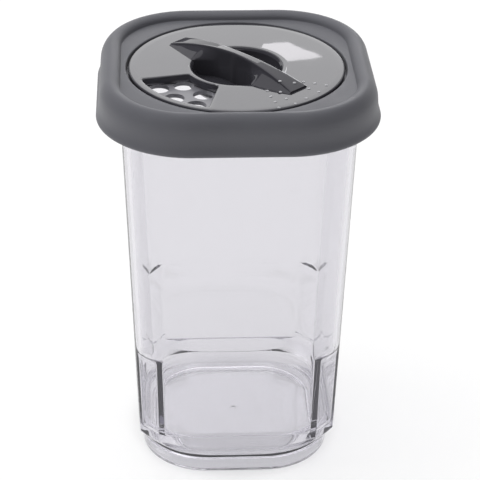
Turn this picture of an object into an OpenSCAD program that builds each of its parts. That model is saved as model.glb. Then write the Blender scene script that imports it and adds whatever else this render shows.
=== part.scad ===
// Shaker for spices: a clear square jar with a clip-on lid and a turning dial.
// Millimetres, +Z up. The origin is on the table, on the jar's axis. The front looks along -Y.

/* [Jar] */
// Height of the jar's mouth above the table
jar_h = 117.7; // [95:0.1:150]
// Outer width of the jar at the mouth
mouth_w = 65.8; // [58:0.1:80]
// Outer width that the leaning walls reach at the table
base_w = 57.8; // [50:0.1:65]
// Outer corner radius at the mouth
mouth_corner_r = 12; // [9:0.1:16]
// Thickness of the jar's walls
wall_t = 2; // [1.2:0.1:3]
// How far each flat corner facet stands into the room inside the jar, at its top
facet_in = 1.4; // [0.8:0.1:2]
// Thickness of the jar at the facets
facet_t = 2.5; // [2.2:0.1:3]
// Height of the ledge at the top of the facets inside the jar
facet_top = 40.4; // [25:0.1:60]
// How much higher the facets end on the outside
facet_rise = 1; // [0.5:0.1:2]

/* [Base of the jar] */
// Height of the walls' lower edge, where the foot starts
foot_h = 6.7; // [5:0.1:8]
// Height of the hollow under the jar's floor
hollow_h = 2.8; // [2.2:0.1:3.4]
// Thickness of the jar's floor
floor_t = 2.2; // [1.8:0.1:2.6]
// Width of the rounding from the floor up to the walls
round_w = 5; // [3:0.1:7]
// Height of the rounding from the floor up to the walls
round_h = 7.3; // [6.6:0.1:8.4]
// Corner radius of the rounding where it ends at the walls
floor_corner_r = 16.4; // [13:0.1:19]
// How far the foot steps in from the walls
foot_inset = 0.3; // [0.1:0.1:2]
// How far the foot leans in on its way to the table
foot_lean = 0.6; // [0.2:0.1:2]
// Corner radius of the foot at the table
foot_corner_r = 19.8; // [14:0.1:24]
// Width of the ring that the jar stands on
foot_ring_t = 4; // [2.5:0.1:7]
// Radius of the rounded-up lower corners
edge_r = 10; // [7:0.1:12]
// How far inside the corners the rounding of the lower corners starts
edge_in = 9.5; // [7:0.1:11]

/* [Collar] */
// How far the skirt stands out from the jar's mouth, on each side
overhang = 6.8; // [5.5:0.1:10]
// How far the skirt stands out from the jar's mouth at the corners
corner_overhang = 3.6; // [3:0.1:5]
// Thickness of the skirt at its lower edge
skirt_t = 2.2; // [1.6:0.1:3]
// How far the skirt hangs below the jar's mouth
skirt_drop = 5.7; // [3:0.1:12]
// How far the lower edge flares out past the waist
flare = 0.95; // [0.3:0.05:2]
// Thickness of the deck
deck_t = 2.4; // [1.6:0.1:4]
// Height of the rim above the deck
rim_h = 2.05; // [1:0.05:4]
// Distance of the rim's crest inside the lower edge of the skirt
crest_in = 4.3; // [3:0.1:6]
// Width of the rim's inner slope
rim_slope = 2.8; // [1:0.1:3.2]

/* [Sieve plate] */
// Thickness of the sieve plate
plate_t = 1.2; // [0.8:0.1:2]
// Diameter of the sieve holes
hole_d = 5.8; // [4:0.1:6]
// Radius of the ring with two holes
inner_hole_r = 17.3; // [16.8:0.1:17.6]
// Radius of the ring with three holes
outer_hole_r = 24.1; // [23.6:0.1:25]
// Angle between the holes of the inner ring
inner_hole_step = 27; // [24:0.5:30]
// Angle between the holes of the outer ring
outer_hole_step = 18; // [15:0.5:20]
// Direction of the middle of the hole pattern
hole_dir = 222; // [0:1:360]
// Depth of the plug wall below the jar's mouth
plug_h = 5.3; // [4.5:0.1:9]
// Thickness of the plug wall
plug_t = 2.5; // [2:0.1:4]

/* [Seal] */
// Depth of the seal's groove in the plug wall
groove_d = 1; // [0.6:0.1:1.4]
// Height of the seal
seal_h = 2.4; // [1.6:0.1:2.8]
// How far the middle of the seal is cut back between its lips
seal_waist = 0.5; // [0.2:0.05:0.8]

/* [Dial] */
// Diameter of the dial
dial_d = 61.3; // [58:0.1:62]
// Radius of the dial's upper edge
dial_edge_r = 0.5; // [0.2:0.05:0.8]
// Diameter of the bowl under the grip
bowl_d = 26.6; // [25:0.1:28]
// Depth of the bowl
bowl_depth = 5; // [4.5:0.1:5.5]
// Thickness of the bowl's floor and of its wall
bowl_t = 1.5; // [1:0.1:2]
// Height of the snap bead that holds the dial in the plate
bead_h = 1.4; // [0.8:0.1:1.6]
// How far the snap bead stands out from the hub
bead_out = 0.7; // [0.3:0.05:0.9]
// Direction of the middle of the window
window_dir = 225; // [0:1:360]
// Angle that the window spans at its inner radius
window_in_span = 45; // [40:1:50]
// Angle that the window spans at its outer radius
window_out_span = 54; // [50:1:60]
// Inner radius of the window
window_r1 = 14.7; // [14.4:0.1:15.2]
// Outer radius of the window
window_r2 = 28.3; // [27.2:0.1:28.6]

/* [Grip] */
// Direction of the grip's bar
grip_dir = 313.5; // [0:0.5:360]
// Length of the bar
grip_l = 47; // [44:0.5:54]
// Height of the bar's crown above the dial
grip_h = 4.1; // [2.5:0.1:6]
// Height of the bar's ends above the dial
grip_end_h = 0.5; // [0.3:0.1:1]
// Width of the crown at the middle of the bar
crown_w = 2.5; // [2:0.1:4]
// Width of the crown at the ends of the bar
crown_end_w = 6.2; // [5:0.1:7]
// Width of the bar's foot where it crosses the edge of the bowl
grip_waist_w = 13; // [10:0.5:15]
// Distance of each side's two scoops from the middle of the bar
scoop_s = 3; // [2:0.1:4]
// Width of the bar's foot at its ends
grip_end_w = 7.4; // [6.6:0.1:8]

/* [Fits] */
// Gap between the dial and the deck
dial_gap = 0.7; // [0.4:0.05:1]
// Gap between the dial's disc and the sieve plate
lift_gap = 0.3; // [0.2:0.05:0.5]
// Radial clearance of the hub in the sieve plate
hub_clear = 0.06; // [0.03:0.01:0.1]
// Gap between the plug wall and the jar
plug_gap = 0.35; // [0.3:0.05:0.5]
// Gap between the seal's lips and the jar
seal_gap = 0.15; // [0.1:0.05:0.2]
// Gap above and below the seal in its groove
seal_fit = 0.05; // [0.03:0.01:0.1]
// Gap between the sieve plate's edge and the skirt
edge_gap = 0.3; // [0.2:0.05:0.5]

/* [Hidden] */
$fn = 96;

// Reach of cutting bodies, past everything that they cut
past = 2 * jar_h;

// Jar: its walls lean out from the base to the mouth, about fixed corner centres.
mouth_half = mouth_w / 2;
base_half = base_w / 2;
jar_c = mouth_half - mouth_corner_r;
lean = (mouth_half - base_half) / jar_h;
function half_at(z) = base_half + lean * z;
function corner_at(z) = jar_c * sqrt(2) + half_at(z) - jar_c;
facet_r = corner_at(facet_top) - wall_t - facet_in;
edge_z = foot_h + edge_r;
edge_start_r = corner_at(foot_h) - edge_in;
foot_half = half_at(foot_h) - foot_inset;
foot_c = foot_half - foot_lean - foot_corner_r;
floor_z = hollow_h + floor_t;
round_z = floor_z + round_h;
round_step = 0.3;
round_half = half_at(round_z) - wall_t - round_step;
floor_c = hundredth(round_half - floor_corner_r);

// Heights in the lid, counted up from the jar's mouth that it rests on
plate_top = jar_h + plate_t;
deck_top = plate_top + deck_t;
dial_top = deck_top;
dial_low = plate_top + lift_gap;
dial_t = dial_top - dial_low;
skirt_low = jar_h - skirt_drop;
crest_z = deck_top + rim_h;

// Lid in plan
lid_half = mouth_half + overhang;
lid_diagonal = corner_at(jar_h) + corner_overhang;
lid_corner_r = (lid_half * sqrt(2) - lid_diagonal) / (sqrt(2) - 1);
lid_c = lid_half - lid_corner_r;
crest_half = lid_half - crest_in;
waist_half = lid_half - flare;
skirt_inner = lid_half - skirt_t;
deck_hole_r = dial_d / 2 + dial_gap;

// Plug and seal inside the mouth
plug_low = jar_h - plug_h;
plug_half = half_at(plug_low) - wall_t - plug_gap;
seal_low = plug_low + (plug_h - seal_h) / 2;
seal_half = half_at(seal_low) - wall_t - seal_gap;

// Dial
dial_r = dial_d / 2;
bowl_r = bowl_d / 2;
bowl_z = dial_top - bowl_depth;
hub_low = bowl_z - bowl_t;
hub_r = bowl_r;
bead_top = jar_h - lift_gap;

// Grip: how its crown widens towards the ends, the least flare of its foot, the share of its
// height that the round shoulder takes, and how far the web stands back under the bar
crown_spread = 1.5;
foot_min = 0.1;
shoulder = 0.12;
web_in = 0.15;

// A length kept to a hundredth of a millimetre
function hundredth(x) = round(100 * x) / 100;

// A block with a square plan, round corners about the centres (c, c) and leaning sides: half width
// w1 at height z1 and w2 at z2. Its lengths are kept short so that flat sides run into the corners.
module leaning_block(c, w1, z1, w2, z2) {
    centre = hundredth(c);
    low = hundredth(w1);
    high = hundredth(w2);
    side = [[-low, z1], [low, z1], [high, z2], [-high, z2]];
    corner = [[0, z1], [low - centre, z1], [high - centre, z2], [0, z2]];
    for (turn = [0, 90])
        rotate([90, 0, turn])
            linear_extrude(2 * centre, center = true)
                polygon(side);
    for (turn = [0:90:270])
        rotate(turn)
            translate([centre, centre, 0])
                rotate_extrude(angle = 90)
                    polygon(corner);
}

// A profile swept round a square with round corners. The profile's x counts from the
// corner centres (c, c) outwards and its y is the height.
module square_ring(c) {
    for (turn = [0:90:270])
        rotate(turn) {
            translate([c, c, 0])
                rotate_extrude(angle = 90)
                    children();
            translate([c, 0, 0])
                rotate([90, 0, 0])
                    linear_extrude(2 * c, center = true)
                        children();
        }
}

// Points of an elliptical arc round (x, y), from angle a1 to angle a2
function arc(x, y, rx, ry, a1, a2, steps) =
    [for (i = [0:steps]) let (a = a1 + (a2 - a1) * i / steps) [x + rx * cos(a), y + ry * sin(a)]];

// Everything outside four corner facets, which lean with the walls: they end at height top, at
// distance r from the axis
module outside_facets(r, top) {
    for (turn = [45:90:315])
        rotate(turn)
            translate([r, 0, top])
                rotate([0, atan(lean), 0])
                    translate([0, -past / 2, -past])
                        cube(past);
}

// A body of revolution that rounds up the jar's lower corners: flat at the foot, then an arc
module round_bottom() {
    rotate_extrude() {
        translate([0, edge_z])
            square([past, past]);
        translate([0, foot_h])
            square([edge_start_r, edge_r]);
        intersection() {
            translate([edge_start_r, edge_z])
                circle(edge_r);
            translate([0, foot_h])
                square([edge_start_r + edge_r, edge_r]);
        }
    }
}

// The room over the floor: a round way up to the walls, and wider corners than the walls have,
// which leaves a ledge in each corner
module floor_room() {
    flat = hundredth(round_half - round_w - floor_c);
    over = round_z + wall_t;
    translate([-floor_c, -floor_c, floor_z])
        cube([2 * floor_c, 2 * floor_c, over - floor_z]);
    square_ring(floor_c)
        polygon(concat(
            [[0, floor_z]],
            arc(flat, round_z, round_w, round_h, -90, 0, 10),
            [[flat + round_w, over], [0, over]]
        ));
}

// The room inside the jar: leaning walls with flat facets in the lower corners, over the floor
module jar_space() {
    top = jar_h + wall_t;
    difference() {
        leaning_block(jar_c, half_at(round_z) - wall_t, round_z, half_at(top) - wall_t, top);
        outside_facets(facet_r, facet_top);
    }
    floor_room();
}

module jar() {
    color([0.86, 0.86, 0.9, 0.4])
        difference() {
            union() {
                difference() {
                    intersection() {
                        leaning_block(jar_c, half_at(foot_h), foot_h, mouth_half, jar_h);
                        round_bottom();
                    }
                    outside_facets(facet_r + facet_t, facet_top + facet_rise);
                }
                leaning_block(foot_c, foot_half - foot_lean, 0, foot_half, foot_h + wall_t / 2);
            }
            jar_space();
            leaning_block(foot_c, foot_half - foot_lean - foot_ring_t, -wall_t,
                          foot_half - foot_lean - foot_ring_t, hollow_h);
        }
}

// Section of the collar: deck, rim with a round shoulder, waisted skirt and round lower edge
module collar_section() {
    edge = skirt_t / 2;
    shoulder_z = jar_h + plate_t;
    slope_foot = crest_half - rim_slope - lid_c;
    crest = crest_half - lid_c;
    waist = waist_half - lid_c;
    polygon(concat(
        [[0, plate_top], [0, deck_top], [slope_foot, deck_top]],
        arc(crest, deck_top, -rim_slope, rim_h, 30, 90, 4),
        arc(crest, shoulder_z, waist - crest, crest_z - shoulder_z, 80, 0, 8),
        [for (i = [1:5]) let (t = i / 6)
            [waist + flare * t * t, shoulder_z + (skirt_low + edge - shoulder_z) * t]],
        arc(lid_half - lid_c - edge, skirt_low + edge, edge, edge, 0, -180, 12),
        [[skirt_inner - lid_c, plate_top]]
    ));
}

module collar() {
    color([0.4, 0.41, 0.43])
        difference() {
            square_ring(lid_c)
                collar_section();
            cylinder(h = past, r = deck_hole_r);
        }
}

// Section of the plug wall, with the seal's groove round its outside
module plug_section() {
    out = plug_half - jar_c;
    polygon([
        [out - plug_t, plug_low], [out, plug_low],
        [out, seal_low], [out - groove_d, seal_low],
        [out - groove_d, seal_low + seal_h], [out, seal_low + seal_h],
        [out, jar_h], [out - plug_t, jar_h]
    ]);
}

module sieve_holes() {
    for (i = [-0.5, 0.5])
        rotate(hole_dir + i * inner_hole_step)
            translate([inner_hole_r, 0, jar_h - plate_t])
                cylinder(h = 3 * plate_t, d = hole_d);
    for (i = [-1, 0, 1])
        rotate(hole_dir + i * outer_hole_step)
            translate([outer_hole_r, 0, jar_h - plate_t])
                cylinder(h = 3 * plate_t, d = hole_d);
}

module sieve_plate() {
    plate_half = skirt_inner - edge_gap;
    color([0.2, 0.2, 0.22])
        difference() {
            union() {
                leaning_block(lid_c, plate_half, jar_h, plate_half, plate_top);
                square_ring(jar_c)
                    plug_section();
            }
            translate([0, 0, jar_h - plate_t])
                cylinder(h = 3 * plate_t, r = hub_r + hub_clear);
            sieve_holes();
        }
}

// Section of the seal: a flat back in the groove and two lips towards the jar
module seal_section() {
    back = plug_half - groove_d - jar_c;
    lip = seal_half - jar_c;
    low = seal_low + seal_fit;
    high = seal_low + seal_h - seal_fit;
    lip_h = (high - low) / 3;
    polygon([
        [back, low], [lip - seal_waist, low], [lip, low + lip_h / 2],
        [lip - seal_waist, low + lip_h], [lip - seal_waist, high - lip_h],
        [lip, high - lip_h / 2], [lip - seal_waist, high], [back, high]
    ]);
}

module seal_ring() {
    color([0.75, 0.75, 0.76])
        square_ring(jar_c)
            seal_section();
}

// Section of the dial's disc and bowl, with the hub and its snap bead below
module dial_section() {
    floor_r = bowl_r - bowl_t - bowl_t;
    polygon(concat(
        [[0, hub_low], [hub_r - bowl_t, hub_low], [hub_r, hub_low + bowl_t], [hub_r, bead_top - bead_h],
         [hub_r + bead_out, bead_top - bead_h / 2], [hub_r + bead_out, bead_top], [hub_r, bead_top],
         [hub_r, dial_low], [dial_r - dial_edge_r / 2, dial_low], [dial_r, dial_low + dial_edge_r / 2]],
        arc(dial_r - dial_edge_r, dial_top - dial_edge_r, dial_edge_r, dial_edge_r, 0, 90, 5),
        [[bowl_r, dial_top]],
        arc(floor_r, dial_top - bowl_t / 2, bowl_r - bowl_t / 2 - floor_r, bowl_depth - bowl_t / 2, 0, -90, 10),
        [[0, bowl_z]]
    ));
}

// Opening in the dial: part of a flat ring between two radii, with straight sides that spread
// outwards more than the radii do
module window() {
    inner = window_r1 * [cos(window_in_span / 2), sin(window_in_span / 2)];
    outer = window_r2 * [cos(window_out_span / 2), sin(window_out_span / 2)];
    more = (outer - inner) / 2;
    a = inner - more;
    b = outer + more;
    rotate(window_dir)
        translate([0, 0, dial_low - dial_t])
            linear_extrude(3 * dial_t)
                intersection() {
                    difference() {
                        circle(window_r2);
                        circle(window_r1);
                    }
                    polygon([a, [a.x, -a.y], [b.x, -b.y], b]);
                }
}

// The bar's foot is drawn in by two scoops on each side inside the bowl, which meet in a crease at
// its middle, and it narrows from the edge of the bowl to its ends.
scoop_end = sqrt(pow(bowl_r, 2) - pow(grip_waist_w / 2, 2));
scoop_rise = (grip_waist_w - crown_w) / 2;
scoop_r = (pow(scoop_end - scoop_s, 2) + pow(scoop_rise, 2)) / (2 * scoop_rise);
function foot_w(s) =
    abs(s) < scoop_end
    ? crown_w / 2 + scoop_r - sqrt(pow(scoop_r, 2) - pow(abs(s) - scoop_s, 2))
    : (grip_waist_w + (grip_end_w - grip_waist_w) * (abs(s) - scoop_end) / (grip_l / 2 - scoop_end)) / 2;
function top_w(s) = (crown_w + (crown_end_w - crown_w) * pow(2 * abs(s) / grip_l, crown_spread)) / 2;
function top_h(s) = grip_end_h + (grip_h - grip_end_h) * (1 - pow(2 * s / grip_l, 2));

// Half of the bar's section at s along it: foot, hollow side, round shoulder, crown
function bar_side(s) =
    let (top = top_w(s), foot = max(foot_w(s), top + foot_min), h = top_h(s), low = h * (1 - shoulder))
    concat(
        [[foot, -grip_end_h]],
        [for (t = [0:0.25:0.75]) [top + (foot - top) * pow(1 - t, 2), low * t]],
        [[top, low], [top - h * shoulder, h]]
    );
function bar_ring(s) =
    let (half = bar_side(s), n = len(half))
    concat([for (p = half) [s, p.x, p.y]], [for (i = [n - 1:-1:0]) [s, -half[i].x, half[i].y]]);

module grip_bar() {
    steps = 24;
    rings = [for (i = [0:steps]) bar_ring(grip_l * (i / steps - 0.5))];
    n = len(rings[0]);
    end = steps * n;
    walls = [for (k = [0:steps - 1], i = [0:n - 1]) let (j = (i + 1) % n, a = k * n, b = a + n)
        each [[a + i, b + i, a + j], [a + j, b + i, b + j]]];
    caps = [for (i = [0:n / 2 - 2]) let (j = n - 1 - i)
        each [[i, i + 1, j - 1], [i, j - 1, j], [end + i, end + j - 1, end + i + 1], [end + i, end + j, end + j - 1]]];
    polyhedron([for (ring = rings) each ring], concat(walls, caps));
}

// Web under the bar that splits the bowl into two finger wells
module grip_web() {
    linear_extrude(bowl_depth + bowl_t / 2)
        intersection() {
            circle(bowl_r - bowl_t / 2);
            difference() {
                square([grip_l, grip_waist_w], center = true);
                for (side = [-1, 1], end = [-1, 1])
                    translate([end * scoop_s, side * (scoop_r + crown_w / 2 - web_in)])
                        circle(scoop_r);
            }
        }
}

module dial() {
    color([0.16, 0.16, 0.18]) {
        difference() {
            rotate_extrude()
                dial_section();
            window();
        }
        rotate(grip_dir) {
            translate([0, 0, dial_top])
                grip_bar();
            translate([0, 0, bowl_z - bowl_t / 2])
                grip_web();
        }
    }
}

jar();
collar();
sieve_plate();
seal_ring();
dial();
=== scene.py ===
"""Looks of the spice shaker: clear jar, matte collar, glossy dial, sieve plate and seal."""

import math

import bmesh
import bpy
import numpy as np
from mathutils import Matrix, Vector


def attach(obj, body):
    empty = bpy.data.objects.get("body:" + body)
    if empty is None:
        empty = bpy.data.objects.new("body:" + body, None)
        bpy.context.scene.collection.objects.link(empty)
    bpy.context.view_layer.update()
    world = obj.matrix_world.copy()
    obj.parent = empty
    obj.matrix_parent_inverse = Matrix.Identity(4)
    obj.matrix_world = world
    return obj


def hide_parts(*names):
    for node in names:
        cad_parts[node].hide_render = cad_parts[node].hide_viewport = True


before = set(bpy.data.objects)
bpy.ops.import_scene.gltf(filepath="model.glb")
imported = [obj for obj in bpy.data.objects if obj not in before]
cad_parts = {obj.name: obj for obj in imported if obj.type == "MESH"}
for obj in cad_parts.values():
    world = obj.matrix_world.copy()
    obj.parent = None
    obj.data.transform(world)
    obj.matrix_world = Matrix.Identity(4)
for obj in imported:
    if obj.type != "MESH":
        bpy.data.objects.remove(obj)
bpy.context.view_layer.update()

MM = 0.001

# Distances in metres under which vertices are merged and faces are dropped
MERGE_M = 1e-7
DROP_M = 1e-8

# The shapes are in millimetres and degrees. C is where a square plan has the centres of its round corners.

# Jar walls
JAR_H = 117.7
MOUTH_HALF = 32.9
BASE_HALF = 28.9
JAR_C = 20.9
WALL = 2.0
LIP_R = 0.4

# Corner facets: their ledges inside and outside, how far they stand in, the thickness and the upright edges
LEDGE_Z = 40.4
LEDGE_EDGE = 0.3
OUT_LEDGE_Z = 41.4
OUT_LEDGE_H = 5.0
OUT_LEDGE_STEPS = 12
FACET_IN = 1.4
FACET_T = 2.5
FACET_EDGE = 0.08

# Floor, its rounding up to the walls and the share of the corner ledges there that is a fillet
FLOOR_Z = 5.0
ROUND_W = 2.6
ROUND_Z = 12.9
ROUND_HALF = 26.8
ROUND_C = 10.62
ROUND_EDGE = 0.1
ROUND_FILLET = 0.45

# Round lower edge of the walls, how soft the line is where it starts, and its greatest share of the arc
FOOT_H = 6.7
EDGE_R = 10.0
EDGE_IN = 9.5
EDGE_SOFT = 0.3
EDGE_SHARE = 0.45

# Foot ring, the hollow inside it and the round gate mark in the middle of the hollow
FOOT_HALF = 28.83
FOOT_LEAN = 0.6
FOOT_C = 8.43
FOOT_LINE_Z = 3.7
FOOT_EDGE = 0.5
RING_HALF = 24.4
RING_TOP = 0.9
HOLLOW_H = 3.3
HOLLOW_ROUND = 2.0
GATE_R = 0.7
GATE_TOP_R = 0.5
GATE_H = 0.06

# Heights of the points on the jar's straight stretches
INSIDE_LOW_ROWS = (14.5, 15.2, 16.5, 19, 23, 28, 33, 37, LEDGE_Z - 1.5)
INSIDE_ROWS = (LEDGE_Z + 1.2, 45, 50, 56, 63, 70, 78, 86, 94, 102, 109, 114, JAR_H - 0.5)
OUTSIDE_ROWS = (116, 112, 106, 100, 92, 84, 76, 68, 60, 53, 47, 44.5)
OUTSIDE_LOW_Z = 36
OUTSIDE_END = 0.7
FOOT_ROWS = (3.5, 3.2, 2.2, 1.2, 0.6)

# Radii of the points on the level stretch of the hollow
HOLLOW_ROWS = (18.0, 12.0, 6.0, 2.0)

# Columns of the jar in each quadrant: start, end and step, finest at the upright edges of the facets
JAR_COLUMNS = ((0, 24, 4), (24, 30, 1), (30, 37, 0.5), (37, 40, 0.25), (40, 50, 0.5),
               (50, 53, 0.25), (53, 60, 0.5), (60, 66, 1), (66, 90, 4))

# Collar, with its columns in each quadrant
LID_C = 13.17
PLATE_TOP = 118.9
HOLE_ROW_Z = 119.9
DECK_Z = 121.3
DECK_HOLE_R = 31.35
DECK_EDGE = 0.35
COLLAR_COLUMNS = ((0, 12, 6), (12, 78, 1), (78, 90, 6))
COLLAR_SHARP = 50

# Half width and height of the collar's outer surface at the middle of a side, from the foot of the
# rim's inner slope over the crest and the waist to the lower edge and up inside
COLLAR_OUT = [
    (32.6, 121.3), (32.72, 121.36), (32.82, 121.6), (32.98, 122.05), (33.3, 122.5), (33.8, 122.9),
    (34.5, 123.2), (35.3, 123.35), (35.95, 123.22), (36.5, 122.9), (37.0, 122.45), (37.5, 121.85),
    (37.92, 121.15), (38.3, 120.3), (38.55, 119.3), (38.7, 118.2), (38.77, 117.1), (38.85, 116.1),
    (39.0, 115.1), (39.25, 114.2), (39.52, 113.5), (39.67, 113.05), (39.69, 112.75), (39.58, 112.4),
    (39.3, 112.12), (38.9, 112.0), (38.3, 112.0), (37.85, 112.12), (37.6, 112.4), (37.5, 112.8),
    (37.5, 115.0), (37.5, 118.2), (37.3, 118.7), (36.8, 118.9),
]

# Dial: disc, bowl with its round side and lip, and the hub with its snap bead. Rows are radii of points
DIAL_Z = 121.3
DIAL_LOW = 119.2
DIAL_R = 30.65
DIAL_EDGE = 0.5
DIAL_LOW_EDGE = 0.25
DIAL_SHARP = 35
BOWL_R = 13.3
BOWL_DEPTH = 5.0
BOWL_ROUND = 3.0
BOWL_EDGE = 0.75
BOWL_ROWS = (0.0, 4.0, 8.0)
BOWL_LIP = ((-0.4, -0.35), (-0.25, -0.15), (0.0, -0.03), (0.3, 0.0))
BEAD_TOP = 117.4
BEAD_LOW = 116.7
BEAD_END = 116.0
BEAD_OUT = 0.7
HUB_LOW = 114.8
HUB_CHAMFER = 1.5
HUB_ROWS = (6.0, 0.0)

# Window of the dial: the columns across it and round the rest, and the radii of its rows
WINDOW_DIR = 225.0
WINDOW_IN_SPAN = 45.0
WINDOW_OUT_SPAN = 54.0
WINDOW_R1 = 14.7
WINDOW_R2 = 28.3
WINDOW_CORNER = 0.9
WINDOW_EDGE = 0.28
WINDOW_COLUMNS = 17
REST_COLUMNS = 103
WINDOW_ROWS = (WINDOW_R1, 18.0, 22.0, 26.0, WINDOW_R2)

# How the window's edges are told from others: tolerances in length and angle, the least height of an
# upright edge, the least upward part of a level face's normal, and the reach past the window's radii
NEAR_MM = 0.02
NEAR_DEG = 0.05
UPRIGHT_MM = 1.5
LEVEL_NORMAL = 0.9
RIM_REACH = 0.5

# Grip bar. CROWN_SPREAD and SIDE_HOLLOW are exponents: with 1 the crown's outline and the sides of the
# section are straight
GRIP_DIR = 313.5
GRIP_HALF = 23.5
GRIP_H = 4.1
GRIP_END_H = 0.5
CROWN_W = 2.5
CROWN_END_W = 6.2
CROWN_SPREAD = 1.5
CROWN_EDGE = 0.45
CROWN_EDGE_SHARE = 0.3
GRIP_WAIST_W = 13.0
GRIP_END_W = 7.4
GRIP_FLARE = 0.1
SCOOP_S = 3.0
SIDE_HOLLOW = 1.15
SIDE_STEPS = 8
CROWN_LEAST = 0.05
GRIP_STATIONS = 48
GRIP_SHARP = 40

# How deep the bar's foot stands in the bowl's floor and in the disc, and where its sides start
SINK_BOWL = 0.3
SINK_DISC = 0.6
SIDE_START = 0.4

# Raised dots of the sprinkle sign beside the grip's end: radius and angle of each
DOT_R = 0.5
DOT_FLATNESS = 0.45
DOTS = [
    (25.0, 320.0), (21.5, 327.0), (24.6, 329.0), (27.9, 330.0), (28.4, 320.0),
    (28.6, 309.0), (22.5, 292.0), (25.7, 299.0), (26.1, 291.0), (29.6, 300.0),
    (29.7, 290.0), (18.8, 294.0), (21.2, 302.0), (18.7, 307.0), (21.2, 316.0),
]

# Range of a noise texture that is spread over a material's colours and roughness
NOISE_LOW = 0.3
NOISE_HIGH = 0.7

# The stage and the camera are in metres, watts and degrees.

# Floor, whose own glow is weaker under the jar: painted shade under its base
FLOOR_SIZE = 6.0
FADE_START = 0.027
FADE_END = 0.034
PAINTED_SHADE_GLOW = 0.48
GLOW_ROUND = 0.65
WORLD_LIGHT = 0.4

# Lamps: place, point aimed at, size, power, and whether shiny surfaces mirror them. The dial mirrors the
# back one to the camera, and the grip's sides mirror only the dark front
LAMPS = [
    ("top", (-0.2, 0.15, 1.2), (0, 0, 0.06), (1.2, 1.2), 9.3, False),
    ("left", (-1.1, 0.1, 0.7), (0, 0, 0.08), (0.7, 0.7), 4.2, False),
    ("back", (0.06, 1.25, 0.69), (0, 0, 0.12), (0.55, 0.4), 1.0, True),
]

# Dark wall of the studio round the front
DARK = (0.05, 0.05, 0.055, 1)
WALL_R = 1.6
WALL_H = 2.6
WALL_START = 132.0
WALL_SPAN = 266.0
WALL_STEPS = 24

# Dark flags at both sides of the jar's base, seen by light that was mirrored more often than this
FLAG_X = 0.045
FLAG_FRONT = -0.045
FLAG_BACK = -0.012
FLAG_H = 0.032
FLAG_MIRRORINGS = 1.5

# Lit panes behind, with corners (x, z): one like a window, which the dial mirrors beside the grip, and a low
# strip, which draws a bright line along the grip's far edges
PANE_Y = 1.19
LAMP_PANE = [(0.086, 0.631), (0.111, 0.630), (0.146, 0.647), (0.077, 0.653)]
LAMP_GLOW = 4.6
STRIP_PANE = [(0.04, 0.22), (0.55, 0.22), (0.55, 0.42), (0.04, 0.42)]
STRIP_GLOW = 3.5

# Camera, fitted to the photo's outlines
CAM_DIST = 0.540
CAM_ELEV = 30.27
CAM_YAW = -2.85
CAM_ROLL = 0.57
CAM_TARGET = Vector((0, 0, 0.058))
CAM_FOCAL_PX = 1797.5
CAM_CENTRE_PX = (234.75, 258.81)
FRAME_PX = 480.0
SENSOR_MM = 36.0
CLIP_NEAR = 0.01
CLIP_FAR = 50.0

LEAN = (MOUTH_HALF - BASE_HALF) / JAR_H


def half_at(z):
    """Half width of the jar's outer walls at height z."""
    return BASE_HALF + LEAN * z


def corner_at(z):
    """Distance of the jar's round outer corners from the axis at height z."""
    return JAR_C * math.sqrt(2) + half_at(z) - JAR_C


FACET_D = corner_at(LEDGE_Z) - WALL - FACET_IN
EDGE_START = corner_at(FOOT_H) - EDGE_IN
EDGE_Z = FOOT_H + EDGE_R
SCOOP_END = math.sqrt(BOWL_R ** 2 - (GRIP_WAIST_W / 2) ** 2)
SCOOP_RISE = (GRIP_WAIST_W - CROWN_W) / 2
SCOOP_R = ((SCOOP_END - SCOOP_S) ** 2 + SCOOP_RISE ** 2) / (2 * SCOOP_RISE)


# Curves and meshes

def fold(angle):
    """Angle in degrees from the nearest flat side's middle, from 0 to 45."""
    a = angle % 90.0
    return a if a <= 45.0 else 90.0 - a


def square_r(angle, half, c):
    """Polar radius of a square of that half width with round corners about (c, c)."""
    t = math.radians(fold(angle))
    if half * math.tan(t) <= c:
        return half / math.cos(t)
    r = half - c
    return c * (math.cos(t) + math.sin(t)) + math.sqrt(max(r * r - c * c * (1 - math.sin(2 * t)), 0.0))


def facet_r(angle, d):
    """Polar radius of the corner facet at distance d."""
    return d / math.cos(math.radians(45.0 - fold(angle)))


def soft_min(a, b, k):
    """The lesser of a and b, rounded off where they differ by less than k."""
    h = max(k - abs(a - b), 0.0)
    return min(a, b) - h * h / (4 * k)


def arc(r, z, rx, rz, start, end, n):
    """n + 1 points of an elliptic arc about (r, z), from start to end in degrees."""
    angles = [math.radians(start + (end - start) * i / n) for i in range(n + 1)]
    return [(r + rx * math.cos(t), z + rz * math.sin(t)) for t in angles]


def parabola(a, corner, b, n):
    """n + 1 points of the curve from a to b that the lines from both to the corner touch."""
    pts = []
    for i in range(n + 1):
        t = i / n
        pts.append(tuple((1 - t) ** 2 * p + 2 * t * (1 - t) * q + t * t * r for p, q, r in zip(a, corner, b)))
    return pts


def spline(points, per):
    """Points of a smooth curve through the given ones, per of them on every stretch."""
    p = np.array(points, float)
    ext = np.vstack([2 * p[0] - p[1], p, 2 * p[-1] - p[-2]])
    out = []
    for i in range(1, len(ext) - 2):
        a, b, c, d = ext[i - 1 : i + 3]
        for k in range(per):
            t = k / per
            out.append(tuple(0.5 * (2 * b + (c - a) * t + (2 * a - 5 * b + 4 * c - d) * t * t
                                    + (3 * b - a - 3 * c + d) * t ** 3)))
    out.append(tuple(p[-1]))
    return out


def crossing(low, high, within):
    """Where within(), true at low and false at high, changes, found by halving the stretch."""
    for _ in range(50):
        mid = (low + high) / 2
        if within(mid):
            low = mid
        else:
            high = mid
    return low


def polar(r, angle, z):
    """Place in metres of a point given by radius, angle in degrees and height."""
    t = math.radians(angle)
    return (r * math.cos(t) * MM, r * math.sin(t) * MM, z * MM)


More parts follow.
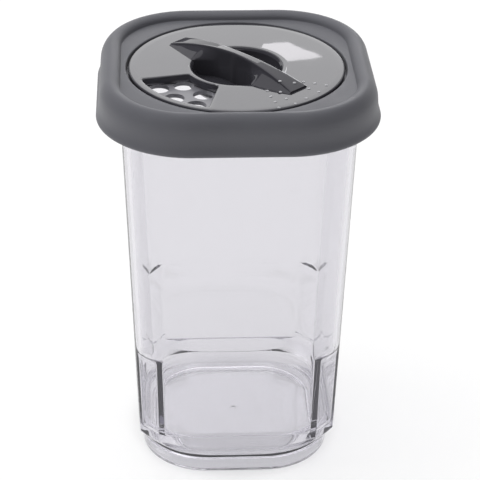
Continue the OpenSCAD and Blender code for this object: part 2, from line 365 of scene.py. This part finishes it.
def quadrant_angles(zones):
    """Angles round the axis: in every quadrant each zone (start, end, step) is cut into equal steps."""
    one = [start + step * i for start, end, step in zones for i in range(round((end - start) / step))]
    return [90.0 * q + a for q in range(4) for a in one]


def polar_solid(angles, profile, closed):
    """Vertices and faces of a body whose section at each angle is profile(angle), a list of (r, z).
    A closed section makes a ring; an open one starts and ends on the axis."""
    rows = [profile(a) for a in angles]
    m, n = len(rows), len(rows[0])
    verts = [polar(r, a, z) for a, row in zip(angles, rows) for r, z in row]
    faces = []
    for i in range(m):
        j = (i + 1) % m
        for k in range(n if closed else n - 1):
            after = (k + 1) % n
            faces.append((i * n + k, j * n + k, j * n + after, i * n + after))
    return verts, faces


def add_piece(mesh, body):
    """The object of a mesh, on its body."""
    obj = bpy.data.objects.new(mesh.name, mesh)
    bpy.context.scene.collection.objects.link(obj)
    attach(obj, body)
    return obj


def mesh_object(name, verts, faces, body, sharp=None):
    """A piece with smooth shading, or with edges sharp where they turn by more than that angle."""
    mesh = bpy.data.meshes.new(name)
    mesh.from_pydata([tuple(v) for v in verts], [], [tuple(f) for f in faces])
    bm = bmesh.new()
    bm.from_mesh(mesh)
    bmesh.ops.remove_doubles(bm, verts=bm.verts, dist=MERGE_M)
    bmesh.ops.dissolve_degenerate(bm, edges=bm.edges, dist=DROP_M)
    bmesh.ops.recalc_face_normals(bm, faces=bm.faces)
    bm.to_mesh(mesh)
    bm.free()
    mesh.shade_smooth()
    if sharp is not None:
        mesh.set_sharp_from_angle(angle=math.radians(sharp))
    return add_piece(mesh, body)


# Jar

def outer(angle, z):
    """Radius of the outer wall without facets."""
    return square_r(angle, half_at(z), JAR_C)


def inner(angle, z):
    """Radius of the inner wall without facets."""
    return square_r(angle, half_at(z) - WALL, JAR_C)


def outer_low(angle, z):
    """Radius of the outer wall with its leaning facets."""
    return soft_min(outer(angle, z), facet_r(angle, FACET_D + FACET_T - LEAN * (OUT_LEDGE_Z - z)), FACET_EDGE)


def inner_low(angle, z):
    """Radius of the inner wall with its leaning facets."""
    return soft_min(inner(angle, z), facet_r(angle, FACET_D - LEAN * (LEDGE_Z - z)), FACET_EDGE)


def foot(angle, z):
    """Radius of the foot ring's outside, which leans in below its line."""
    return square_r(angle, FOOT_HALF - FOOT_LEAN * max(1 - z / FOOT_LINE_Z, 0.0), FOOT_C)


def lower_edge(phi):
    """Point (r, z) of the arc that rounds off the walls' lower edge, phi from its lowest point."""
    return EDGE_START + EDGE_R * math.sin(phi), EDGE_Z - EDGE_R * math.cos(phi)


def jar_inside(angle):
    """Section of the room inside the jar, from the middle of the floor up to the rim."""
    # floor and the rounding up to the walls
    flat_half = ROUND_HALF - ROUND_W
    flat = square_r(angle, flat_half, ROUND_C)
    pts = [(flat * s, FLOOR_Z) for s in (0.0, 0.1, 0.3, 0.6, 0.85, 0.95)]
    rounding = arc(flat_half, ROUND_Z, ROUND_W, ROUND_Z - FLOOR_Z, -90, 0, 14)
    pts += [(square_r(angle, w, ROUND_C), z) for w, z in rounding[:-1]]
    # corner ledge over the rounding
    start = square_r(angle, ROUND_HALF, ROUND_C)
    end = inner_low(angle, ROUND_Z)
    fillet = ROUND_FILLET * (end - start)
    pts += arc(start + ROUND_EDGE, ROUND_Z - ROUND_EDGE, ROUND_EDGE, ROUND_EDGE, 180, 90, 3)
    pts += arc(end - fillet, ROUND_Z + fillet, fillet, fillet, -90, 0, 6)
    # wall with the facets, their ledge and the plain wall over it
    pts += [(inner_low(angle, z), z) for z in INSIDE_LOW_ROWS]
    for d, z in arc(LEDGE_EDGE, LEDGE_Z - LEDGE_EDGE, LEDGE_EDGE, LEDGE_EDGE, 180, 90, 4):
        pts.append((min(inner_low(angle, z) + d, inner(angle, z)), z))
    for d, z in arc(-LEDGE_EDGE, LEDGE_Z + LEDGE_EDGE, LEDGE_EDGE, LEDGE_EDGE, -90, 0, 4):
        pts.append((max(inner(angle, z) + d, inner_low(angle, z)), z))
    pts += [(inner(angle, z), z) for z in INSIDE_ROWS]
    return pts


def jar_outside(angle):
    """Section of the outer wall, from the rim down to the round lower edge and to the foot."""
    pts = [(outer(angle, z), z) for z in OUTSIDE_ROWS]
    # the facets' outer ledge is spread over its height
    for i in range(OUT_LEDGE_STEPS + 1):
        t = i / OUT_LEDGE_STEPS
        z = OUT_LEDGE_Z + OUT_LEDGE_H * (0.5 - t)
        pts.append((outer(angle, z) + (outer_low(angle, z) - outer(angle, z)) * t * t * (3 - 2 * t), z))
    pts.append((outer_low(angle, OUTSIDE_LOW_Z), OUTSIDE_LOW_Z))

    def inside_of(surface):
        """A test whether the lower edge's arc runs inside that surface."""
        def test(phi):
            r, z = lower_edge(phi)
            return r < surface(angle, z)
        return test

    phi_edge = crossing(0.0, math.pi / 2, inside_of(outer_low))
    phi_foot = crossing(0.0, phi_edge, inside_of(foot))
    z_edge = lower_edge(phi_edge)[1]
    for s in (0.2, 0.4, 0.6, 0.75, 0.88, 0.96):
        z = OUTSIDE_LOW_Z + (z_edge + OUTSIDE_END - OUTSIDE_LOW_Z) * s
        pts.append((outer_low(angle, z), z))
    # the line between wall and arc, then the arc
    phi_soft = phi_edge - min(EDGE_SOFT / EDGE_R, (phi_edge - phi_foot) * EDGE_SHARE)
    wall_end = (outer_low(angle, z_edge + EDGE_SOFT), z_edge + EDGE_SOFT)
    pts += parabola(wall_end, lower_edge(phi_edge), lower_edge(phi_soft), 6)
    pts += [lower_edge(phi_soft + (phi_foot - phi_soft) * s) for s in (0.25, 0.5, 0.75, 0.9)]
    # the foot's upright stretch over its line
    z_foot = lower_edge(phi_foot)[1]
    for s in (0.0, 0.1, 0.4, 0.8, 1.0):
        z = z_foot + (FOOT_LINE_Z - z_foot) * s
        pts.append((foot(angle, z), z))
    return pts


def jar_underside(angle):
    """Section of the foot ring below its line and of the hollow, to the middle."""
    ring = square_r(angle, RING_HALF, FOOT_C)
    pts = [(foot(angle, z), z) for z in FOOT_ROWS]
    pts += arc(foot(angle, 0.0) - FOOT_EDGE, FOOT_EDGE, FOOT_EDGE, FOOT_EDGE, 0, -90, 4)
    pts += arc(ring + FOOT_EDGE, FOOT_EDGE, FOOT_EDGE, FOOT_EDGE, 270, 180, 3)
    pts.append((ring, RING_TOP))
    pts += arc(ring - HOLLOW_ROUND, HOLLOW_H - HOLLOW_ROUND, HOLLOW_ROUND, HOLLOW_ROUND, 0, 90, 8)
    pts += [(r, HOLLOW_H) for r in (*HOLLOW_ROWS, GATE_R)]
    pts.append(((GATE_R + GATE_TOP_R) / 2, HOLLOW_H + GATE_H / 2))
    pts += [(GATE_TOP_R * s, HOLLOW_H + GATE_H) for s in (1.0, 0.5, 0.0)]
    return pts


def jar_profile(angle):
    """Section of the jar from the middle of the floor over the rim to the middle of the underside."""
    rim = arc(inner(angle, JAR_H) + LIP_R, JAR_H - LIP_R, LIP_R, LIP_R, 180, 90, 3)
    rim += arc(outer(angle, JAR_H) - LIP_R, JAR_H - LIP_R, LIP_R, LIP_R, 90, 0, 3)
    return jar_inside(angle) + rim + jar_outside(angle) + jar_underside(angle)


def build_jar():
    verts, faces = polar_solid(quadrant_angles(JAR_COLUMNS), jar_profile, closed=False)
    obj = mesh_object("jar_clear", verts, faces, "jar")
    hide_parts("jar")
    return obj


# Collar

def build_collar():
    section = spline(COLLAR_OUT, 2)

    def profile(angle):
        rim = DECK_HOLE_R + DECK_EDGE
        slope = square_r(angle, section[0][0], LID_C)
        pts = [(DECK_HOLE_R, PLATE_TOP), (DECK_HOLE_R, HOLE_ROW_Z)]
        pts += arc(rim, DECK_Z - DECK_EDGE, DECK_EDGE, DECK_EDGE, 180, 90, 4)
        pts += [(rim + (slope - rim) * s, DECK_Z) for s in (0.3, 0.7, 0.9)]
        pts += [(square_r(angle, w, LID_C), z) for w, z in section]
        return pts

    verts, faces = polar_solid(quadrant_angles(COLLAR_COLUMNS), profile, closed=True)
    obj = mesh_object("collar_soft", verts, faces, "lid", sharp=COLLAR_SHARP)
    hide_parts("collar")
    return obj


# Dial

def dial_section():
    """Half section of the dial from the middle of the bowl over the top to the middle of the hub, and
    the places in it where the window's rows start on the top and on the underside."""
    low = DIAL_Z - BOWL_DEPTH
    floor_r = BOWL_R - BOWL_ROUND
    pts = [(r, low) for r in BOWL_ROWS]
    pts += arc(floor_r, DIAL_Z - BOWL_EDGE, BOWL_ROUND - BOWL_EDGE, BOWL_DEPTH - BOWL_EDGE, -90, 0, 10)
    pts += [(BOWL_R + d, DIAL_Z + z) for d, z in BOWL_LIP]
    top = len(pts)
    pts += [(r, DIAL_Z) for r in WINDOW_ROWS]
    pts += arc(DIAL_R - DIAL_EDGE, DIAL_Z - DIAL_EDGE, DIAL_EDGE, DIAL_EDGE, 90, 0, 5)
    pts += [(DIAL_R, DIAL_LOW + DIAL_LOW_EDGE), (DIAL_R - DIAL_LOW_EDGE, DIAL_LOW)]
    under = len(pts)
    pts += [(r, DIAL_LOW) for r in reversed(WINDOW_ROWS)]
    pts += [(BOWL_R, DIAL_LOW), (BOWL_R, BEAD_TOP), (BOWL_R + BEAD_OUT, BEAD_TOP)]
    pts += [(BOWL_R + BEAD_OUT, BEAD_LOW), (BOWL_R, BEAD_END), (BOWL_R, HUB_LOW + HUB_CHAMFER)]
    pts += [(r, HUB_LOW) for r in (BOWL_R - HUB_CHAMFER, *HUB_ROWS)]
    return pts, top, under


def window_half_angle(r):
    """Half of the angle that the window spans at radius r: its sides are straight lines."""
    a1, a2 = math.radians(WINDOW_IN_SPAN / 2), math.radians(WINDOW_OUT_SPAN / 2)
    x1, y1 = WINDOW_R1 * math.cos(a1), WINDOW_R1 * math.sin(a1)
    x2, y2 = WINDOW_R2 * math.cos(a2), WINDOW_R2 * math.sin(a2)
    # t runs from 0 to 1 along the side, and a little past both ends
    t = crossing(-0.2, 1.2, lambda s: math.hypot(x1 + (x2 - x1) * s, y1 + (y2 - y1) * s) < r)
    return math.degrees(math.atan2(y1 + (y2 - y1) * t, x1 + (x2 - x1) * t))


def dial_mesh():
    """Vertices and faces of the dial, turned about the axis and left open at the window."""
    section, top, under = dial_section()
    n = len(section)
    m = WINDOW_COLUMNS + REST_COLUMNS
    rows = len(WINDOW_ROWS) - 1

    def angle(i, r):
        """Angle of column i at radius r: the first columns span the window, the others the rest."""
        half = window_half_angle(min(max(r, WINDOW_R1), WINDOW_R2))
        if i <= WINDOW_COLUMNS:
            return WINDOW_DIR - half + 2 * half * i / WINDOW_COLUMNS
        return WINDOW_DIR + half + (360.0 - 2 * half) * (i - WINDOW_COLUMNS) / REST_COLUMNS

    verts = [polar(r, angle(i, r), z) for i in range(m) for r, z in section]
    faces = []
    for i in range(m):
        j = (i + 1) % m
        gap = i < WINDOW_COLUMNS
        for k in range(n - 1):
            open_top = gap and top <= k < top + rows
            open_under = gap and under <= k < under + rows
            if not (open_top or open_under):
                faces.append((i * n + k, j * n + k, j * n + k + 1, i * n + k + 1))
        if gap:
            for k, below in ((top, under + rows), (top + rows, under)):
                faces.append((i * n + k, j * n + k, j * n + below, i * n + below))
    for i in (0, WINDOW_COLUMNS):
        for k in range(rows):
            upper = i * n + top + k
            lower = i * n + under + rows - k
            faces.append((upper, upper + 1, lower - 1, lower))
    return verts, faces


def at_window_corner(vert):
    """Whether a vertex lies at one of the window's four corners."""
    r = vert.co.xy.length / MM
    a = math.degrees(math.atan2(vert.co.y, vert.co.x)) % 360.0
    for radius, span in ((WINDOW_R1, WINDOW_IN_SPAN), (WINDOW_R2, WINDOW_OUT_SPAN)):
        if abs(r - radius) < NEAR_MM and abs(abs(a - WINDOW_DIR) - span / 2) < NEAR_DEG:
            return True
    return False


def at_window_rim(edge):
    """Whether an edge lies between the dial's top and a side of the window."""
    if len(edge.link_faces) != 2:
        return False
    high = all(abs(v.co.z / MM - DIAL_Z) < NEAR_MM for v in edge.verts)
    level = [abs(f.normal.z) > LEVEL_NORMAL for f in edge.link_faces]
    r = max(v.co.xy.length for v in edge.verts) / MM
    return high and level.count(True) == 1 and WINDOW_R1 - RIM_REACH < r < WINDOW_R2 + RIM_REACH


def round_window(mesh):
    """Rounds off the window: first its upright corners, then its upper edges."""
    bm = bmesh.new()
    bm.from_mesh(mesh)
    upright = [e for e in bm.edges if abs(e.verts[0].co.z - e.verts[1].co.z) > UPRIGHT_MM * MM]
    corners = [e for e in upright if all(at_window_corner(v) for v in e.verts)]
    bmesh.ops.bevel(bm, geom=corners, offset=WINDOW_CORNER * MM, segments=4, affect="EDGES", profile=0.5)
    rim = [e for e in bm.edges if at_window_rim(e)]
    bmesh.ops.bevel(bm, geom=rim, offset=WINDOW_EDGE * MM, segments=3, affect="EDGES", profile=0.5)
    bmesh.ops.recalc_face_normals(bm, faces=bm.faces)
    bm.to_mesh(mesh)
    bm.free()
    mesh.shade_smooth()
    mesh.set_sharp_from_angle(angle=math.radians(DIAL_SHARP))


def build_dial():
    verts, faces = dial_mesh()
    obj = mesh_object("dial_disc", verts, faces, "dial")
    round_window(obj.data)
    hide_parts("dial")
    return obj


# Grip bar and dots

def bar_foot(s):
    """Half width of the bar's foot at s along it: two scoops in the bowl, straight on the disc."""
    a = abs(s)
    if a < SCOOP_END:
        return CROWN_W / 2 + SCOOP_R - math.sqrt(SCOOP_R ** 2 - (a - SCOOP_S) ** 2)
    return (GRIP_WAIST_W + (GRIP_END_W - GRIP_WAIST_W) * (a - SCOOP_END) / (GRIP_HALF - SCOOP_END)) / 2


def bar_top(s):
    """Half width of the crown at s along the bar."""
    return (CROWN_W + (CROWN_END_W - CROWN_W) * (abs(s) / GRIP_HALF) ** CROWN_SPREAD) / 2


def bar_height(s):
    """Height of the crown above the dial at s along the bar."""
    return GRIP_END_H + (GRIP_H - GRIP_END_H) * (1 - (s / GRIP_HALF) ** 2)


def bar_side(s):
    """Half section of the bar at s along it, from its foot over the side to the middle of the crown."""
    top, h = bar_top(s), bar_height(s)
    wide = max(bar_foot(s), top + GRIP_FLARE)
    edge = min(CROWN_EDGE, h * CROWN_EDGE_SHARE)
    low = h - edge
    bottom = -BOWL_DEPTH - SINK_BOWL if abs(s) < SCOOP_END else -SINK_DISC
    pts = [(wide, bottom), (wide, -SIDE_START)]
    for i in range(SIDE_STEPS):
        t = i / SIDE_STEPS
        pts.append((top + (wide - top) * (1 - t) ** SIDE_HOLLOW, low * t))
    pts += arc(top - edge, low, edge, edge, 0, 90, 4)
    pts += [(max(top - edge, CROWN_LEAST) * f, h) for f in (0.6, 0.2)]
    return pts


def build_grip():
    """The bar across the bowl: a lofted body whose sides run down into the bowl."""
    rings = []
    for i in range(-GRIP_STATIONS, GRIP_STATIONS + 1):
        s = GRIP_HALF * i / GRIP_STATIONS
        side = bar_side(s)
        rings.append([(s, d, z) for d, z in side] + [(s, -d, z) for d, z in reversed(side)])
    n = len(rings[0])
    turn = Matrix.Rotation(math.radians(GRIP_DIR), 4, "Z")
    verts = [turn @ Vector((s * MM, d * MM, (z + DIAL_Z) * MM)) for ring in rings for s, d, z in ring]
    faces = []
    for i in range(len(rings) - 1):
        for k in range(n):
            after = (k + 1) % n
            faces.append((i * n + k, i * n + after, (i + 1) * n + after, (i + 1) * n + k))
    faces.append(tuple(range(n)))
    faces.append(tuple((len(rings) - 1) * n + k for k in range(n)))
    return mesh_object("dial_grip", verts, faces, "dial", sharp=GRIP_SHARP)


def build_dots():
    """Flat round dots on the dial, and on the crown where they meet the bar."""
    bm = bmesh.new()
    for r, a in DOTS:
        t = math.radians(a - GRIP_DIR)
        s, d = r * math.cos(t), r * math.sin(t)
        on_bar = abs(d) < bar_top(s) and 0 < s < GRIP_HALF
        place = Matrix.Translation(polar(r, a, DIAL_Z + (bar_height(s) if on_bar else 0.0)))
        bmesh.ops.create_uvsphere(bm, u_segments=16, v_segments=10, radius=DOT_R * MM,
                                  matrix=place @ Matrix.Diagonal((1, 1, DOT_FLATNESS, 1)))
    mesh = bpy.data.meshes.new("dial_dots")
    bm.to_mesh(mesh)
    bm.free()
    mesh.shade_smooth()
    return add_piece(mesh, "dial")


# Materials

def new_material(name):
    """A material with its nodes, links, shader node and output node."""
    mat = bpy.data.materials.new(name)
    mat.use_nodes = True
    nodes, links = mat.node_tree.nodes, mat.node_tree.links
    return mat, nodes, links, nodes["Principled BSDF"], nodes["Material Output"]


def add_noise(nodes, links, scale, detail):
    """Output of a noise texture that stays with the piece."""
    coord = nodes.new("ShaderNodeTexCoord")
    noise = nodes.new("ShaderNodeTexNoise")
    noise.inputs["Scale"].default_value = scale
    noise.inputs["Detail"].default_value = detail
    links.new(coord.outputs["Object"], noise.inputs["Vector"])
    return noise.outputs["Fac"]


def vary(nodes, links, source, low, high, target):
    """Spreads a noise over the range low to high on a socket."""
    m = nodes.new("ShaderNodeMapRange")
    m.inputs["From Min"].default_value = NOISE_LOW
    m.inputs["From Max"].default_value = NOISE_HIGH
    m.inputs["To Min"].default_value = low
    m.inputs["To Max"].default_value = high
    links.new(source, m.inputs["Value"])
    links.new(m.outputs["Result"], target)


def vary_color(nodes, links, source, low, high, target):
    """Spreads a noise over the colours low to high on a socket."""
    ramp = nodes.new("ShaderNodeValToRGB")
    for element, position, color in zip(ramp.color_ramp.elements, (NOISE_LOW, NOISE_HIGH), (low, high)):
        element.position = position
        element.color = (*color, 1)
    links.new(source, ramp.inputs["Fac"])
    links.new(ramp.outputs["Color"], target)


def add_bump(nodes, links, source, strength, distance, target):
    """Small bumps by a texture on a shader's normal."""
    bump = nodes.new("ShaderNodeBump")
    bump.inputs["Strength"].default_value = strength
    bump.inputs["Distance"].default_value = distance
    links.new(source, bump.inputs["Height"])
    links.new(bump.outputs["Normal"], target)


def mix_shaders(nodes, links, share, first, second):
    """Output of a mix of two shaders, with the second one where share is 1."""
    mix = nodes.new("ShaderNodeMixShader")
    links.new(share, mix.inputs["Fac"])
    links.new(first, mix.inputs[1])
    links.new(second, mix.inputs[2])
    return mix.outputs["Shader"]


def mottled(name, scale, detail, colors, roughness):
    """A material whose colour and roughness vary a little with one noise, with its parts."""
    mat, nodes, links, bsdf, _ = new_material(name)
    noise = add_noise(nodes, links, scale, detail)
    vary_color(nodes, links, noise, *colors, bsdf.inputs["Base Color"])
    vary(nodes, links, noise, *roughness, bsdf.inputs["Roughness"])
    return mat, nodes, links, bsdf


def clear_plastic():
    mat, nodes, links, bsdf, out = new_material("clear_plastic")
    bsdf.inputs["Base Color"].default_value = (0.885, 0.88, 0.895, 1)
    bsdf.inputs["Transmission Weight"].default_value = 1.0
    bsdf.inputs["IOR"].default_value = 1.54
    vary(nodes, links, add_noise(nodes, links, 70.0, 3.0), 0.004, 0.02, bsdf.inputs["Roughness"])
    add_bump(nodes, links, add_noise(nodes, links, 45.0, 1.0), 0.02, 0.001, bsdf.inputs["Normal"])
    # light passes the clear walls on its way to the floor
    clear = nodes.new("ShaderNodeBsdfTransparent")
    clear.inputs["Color"].default_value = (0.92, 0.92, 0.94, 1)
    shadow = nodes.new("ShaderNodeLightPath").outputs["Is Shadow Ray"]
    surface = mix_shaders(nodes, links, shadow, bsdf.outputs["BSDF"], clear.outputs["BSDF"])
    links.new(surface, out.inputs["Surface"])
    # thick parts and long ways inside the walls come out darker
    smoke = nodes.new("ShaderNodeVolumeAbsorption")
    smoke.inputs["Color"].default_value = (0.56, 0.545, 0.62, 1)
    smoke.inputs["Density"].default_value = 66.0
    # a faint painted glow stands for the light that the plastic scatters, and keeps long ways from turning
    # black
    painted_glow = nodes.new("ShaderNodeEmission")
    painted_glow.inputs["Color"].default_value = (0.93, 0.92, 1.0, 1)
    painted_glow.inputs["Strength"].default_value = 2.2
    both = nodes.new("ShaderNodeAddShader")
    links.new(smoke.outputs["Volume"], both.inputs[0])
    links.new(painted_glow.outputs["Emission"], both.inputs[1])
    links.new(both.outputs["Shader"], out.inputs["Volume"])
    return mat


def soft_grey():
    colors = (0.097, 0.098, 0.112), (0.109, 0.110, 0.125)
    mat, nodes, links, bsdf = mottled("soft_grey", 60.0, 5.0, colors, roughness=(0.5, 0.62))
    add_bump(nodes, links, add_noise(nodes, links, 2600.0, 2.0), 0.12, 0.0004, bsdf.inputs["Normal"])
    bsdf.inputs["Sheen Weight"].default_value = 0.12
    bsdf.inputs["Sheen Roughness"].default_value = 0.5
    return mat


def dark_gloss():
    colors = (0.040, 0.039, 0.047), (0.047, 0.046, 0.054)
    mat, nodes, links, bsdf = mottled("dark_gloss", 90.0, 4.0, colors, roughness=(0.008, 0.024))
    add_bump(nodes, links, add_noise(nodes, links, 120.0, 1.0), 0.008, 0.0005, bsdf.inputs["Normal"])
    bsdf.inputs["Specular Tint"].default_value = (0.965, 0.96, 1.0, 1)
    return mat


# the dots' light grey colour is a painted highlight for the light that their raised domes catch
def dots_painted_highlight():
    colors = (0.40, 0.40, 0.42), (0.47, 0.47, 0.49)
    return mottled("dots_painted_highlight", 900.0, 3.0, colors, roughness=(0.45, 0.6))[0]


def dark_plate():
    colors = (0.16, 0.158, 0.176), (0.19, 0.188, 0.208)
    mat, nodes, links, bsdf = mottled("dark_plate", 80.0, 4.0, colors, roughness=(0.25, 0.35))
    add_bump(nodes, links, add_noise(nodes, links, 1800.0, 2.0), 0.06, 0.0003, bsdf.inputs["Normal"])
    return mat


def silicone():
    colors = (0.50, 0.50, 0.51), (0.58, 0.58, 0.59)
    mat, _, _, bsdf = mottled("silicone", 70.0, 4.0, colors, roughness=(0.5, 0.6))
    bsdf.inputs["Subsurface Weight"].default_value = 0.15
    bsdf.inputs["Subsurface Radius"].default_value = (0.002, 0.002, 0.002)
    return mat


def assign(obj, mat):
    """Gives a mesh one material only."""
    obj.data.materials.clear()
    obj.data.materials.append(mat)


# Stage

def stage_mesh(name, verts, faces):
    """A mesh that isn't part of the object."""
    mesh = bpy.data.meshes.new(name)
    mesh.from_pydata(verts, [], faces)
    obj = bpy.data.objects.new(name, mesh)
    bpy.context.scene.collection.objects.link(obj)
    return obj


def hidden_mesh(name, verts, faces):
    """A mesh of the stage that shows only in mirrored light and through clear plastic."""
    obj = stage_mesh(name, verts, faces)
    obj.visible_camera = False
    obj.visible_diffuse = False
    obj.visible_shadow = False
    return obj


def build_floor():
    half = FLOOR_SIZE / 2
    corners = [(-half, -half, 0), (half, -half, 0), (half, half, 0), (-half, half, 0)]
    floor = stage_mesh("floor", corners, [(0, 1, 2, 3)])
    mat, nodes, links, bsdf, _ = new_material("floor_white")
    bsdf.inputs["Base Color"].default_value = (0.4, 0.4, 0.4, 1)
    bsdf.inputs["Roughness"].default_value = 0.9
    bsdf.inputs["Specular IOR Level"].default_value = 0.0
    bsdf.inputs["Emission Color"].default_value = (1, 1, 1, 1)
    # the glow by the distance from the jar's axis, lowered under the jar as painted shade
    place = nodes.new("ShaderNodeTexCoord")
    distance = nodes.new("ShaderNodeVectorMath")
    distance.operation = "LENGTH"
    links.new(place.outputs["Object"], distance.inputs[0])
    glow = nodes.new("ShaderNodeMapRange")
    glow.inputs["From Min"].default_value = FADE_START
    glow.inputs["From Max"].default_value = FADE_END
    glow.inputs["To Min"].default_value = PAINTED_SHADE_GLOW
    glow.inputs["To Max"].default_value = GLOW_ROUND
    links.new(distance.outputs["Value"], glow.inputs["Value"])
    links.new(glow.outputs["Result"], bsdf.inputs["Emission Strength"])
    assign(floor, mat)


def build_world():
    """Plain white light, and a full white where the camera, a mirror or clear plastic shows the world."""
    world = bpy.data.worlds.new("studio")
    bpy.context.scene.world = world
    world.use_nodes = True
    nodes, links = world.node_tree.nodes, world.node_tree.links
    light = nodes["Background"]
    seen = nodes.new("ShaderNodeBackground")
    for background, strength in ((light, WORLD_LIGHT), (seen, 1.0)):
        background.inputs["Color"].default_value = (1, 1, 1, 1)
        background.inputs["Strength"].default_value = strength
    path = nodes.new("ShaderNodeLightPath")
    shown = path.outputs["Is Camera Ray"]
    for ray in ("Is Glossy Ray", "Is Transmission Ray"):
        either = nodes.new("ShaderNodeMath")
        either.operation = "MAXIMUM"
        links.new(shown, either.inputs[0])
        links.new(path.outputs[ray], either.inputs[1])
        shown = either.outputs[0]
    both = mix_shaders(nodes, links, shown, light.outputs["Background"], seen.outputs["Background"])
    links.new(both, nodes["World Output"].inputs["Surface"])


def area_light(name, position, target, size, power, mirrored):
    """A rectangular lamp that faces its target."""
    light = bpy.data.lights.new(name, "AREA")
    light.shape = "RECTANGLE"
    light.size, light.size_y = size
    light.energy = power
    obj = bpy.data.objects.new(name, light)
    bpy.context.scene.collection.objects.link(obj)
    obj.location = position
    obj.rotation_mode = "QUATERNION"
    obj.rotation_quaternion = (Vector(target) - Vector(position)).to_track_quat("-Z", "Y")
    obj.visible_glossy = mirrored


def make_dark(bsdf):
    """Sets a shader to a dull dark grey."""
    bsdf.inputs["Base Color"].default_value = DARK
    bsdf.inputs["Roughness"].default_value = 1.0


def build_studio_wall():
    """The dark side of the studio round the front."""
    angles = [math.radians(WALL_START + WALL_SPAN * i / WALL_STEPS) for i in range(WALL_STEPS + 1)]
    verts = [(WALL_R * math.cos(t), WALL_R * math.sin(t), z) for t in angles for z in (0.0, WALL_H)]
    faces = [(2 * i, 2 * i + 1, 2 * i + 3, 2 * i + 2) for i in range(WALL_STEPS)]
    wall = hidden_mesh("studio_wall", verts, faces)
    mat, _, _, bsdf, _ = new_material("studio_wall")
    make_dark(bsdf)
    assign(wall, mat)


def build_flags():
    """Dark flags close to both sides, which give the clear corners their dark stripes. They show only to
    light that was mirrored more than once, as it is inside the clear wall."""
    mat, nodes, links, bsdf, out = new_material("flag")
    make_dark(bsdf)
    often = nodes.new("ShaderNodeMath")
    often.operation = "GREATER_THAN"
    often.inputs[1].default_value = FLAG_MIRRORINGS
    links.new(nodes.new("ShaderNodeLightPath").outputs["Glossy Depth"], often.inputs[0])
    open_air = nodes.new("ShaderNodeBsdfTransparent")
    surface = mix_shaders(nodes, links, often.outputs[0], open_air.outputs["BSDF"], bsdf.outputs["BSDF"])
    links.new(surface, out.inputs["Surface"])
    for name, x in (("flag_left", -FLAG_X), ("flag_right", FLAG_X)):
        corners = [(x, FLAG_FRONT, 0), (x, FLAG_BACK, 0), (x, FLAG_BACK, FLAG_H), (x, FLAG_FRONT, FLAG_H)]
        flag = hidden_mesh(name, corners, [(0, 1, 2, 3)])
        flag.visible_glossy = False
        assign(flag, mat)


def lit_pane(name, corners, color, strength):
    """A lit pane behind the object, which its shiny surfaces mirror."""
    pane = hidden_mesh(name, [(x, PANE_Y, z) for x, z in corners], [(0, 1, 2, 3)])
    mat, _, _, bsdf, _ = new_material(name)
    bsdf.inputs["Emission Color"].default_value = (*color, 1)
    bsdf.inputs["Emission Strength"].default_value = strength
    assign(pane, mat)
    return pane


def build_camera():
    data = bpy.data.cameras.new("camera")
    camera = bpy.data.objects.new("camera", data)
    bpy.context.scene.collection.objects.link(camera)
    bpy.context.scene.camera = camera
    elev, yaw, roll = (math.radians(a) for a in (CAM_ELEV, CAM_YAW, CAM_ROLL))
    back = Vector((math.sin(yaw) * math.cos(elev), -math.cos(yaw) * math.cos(elev), math.sin(elev)))
    level = Vector((math.cos(yaw), math.sin(yaw), 0))
    upright = back.cross(level)
    right = math.cos(roll) * level + math.sin(roll) * upright
    up = -math.sin(roll) * level + math.cos(roll) * upright
    turn = Matrix((right, up, back)).transposed()
    camera.matrix_world = Matrix.Translation(CAM_TARGET + back * CAM_DIST) @ turn.to_4x4()
    data.sensor_width = SENSOR_MM
    data.lens = CAM_FOCAL_PX * SENSOR_MM / FRAME_PX
    data.shift_x = (FRAME_PX / 2 - CAM_CENTRE_PX[0]) / FRAME_PX
    data.shift_y = (CAM_CENTRE_PX[1] - FRAME_PX / 2) / FRAME_PX
    data.clip_start = CLIP_NEAR
    data.clip_end = CLIP_FAR


# The object

jar = build_jar()
collar = build_collar()
dial = build_dial()
grip = build_grip()
dots = build_dots()
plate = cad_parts["sieve_plate"]
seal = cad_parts["seal_ring"]

gloss = dark_gloss()
assign(jar, clear_plastic())
assign(collar, soft_grey())
assign(dial, gloss)
assign(grip, gloss)
assign(dots, dots_painted_highlight())
plate.material_slots[0].material = dark_plate()
seal.material_slots[0].material = silicone()

# The studio

build_floor()
build_world()
for lamp in LAMPS:
    area_light(*lamp)
build_studio_wall()
build_flags()
lit_pane("mirrored_lamp", LAMP_PANE, (1, 0.98, 1), LAMP_GLOW)
strip = lit_pane("mirrored_strip", STRIP_PANE, (0.97, 0.97, 1), STRIP_GLOW)
strip.visible_transmission = False
build_camera()

bpy.context.scene.view_settings.view_transform = "Standard"
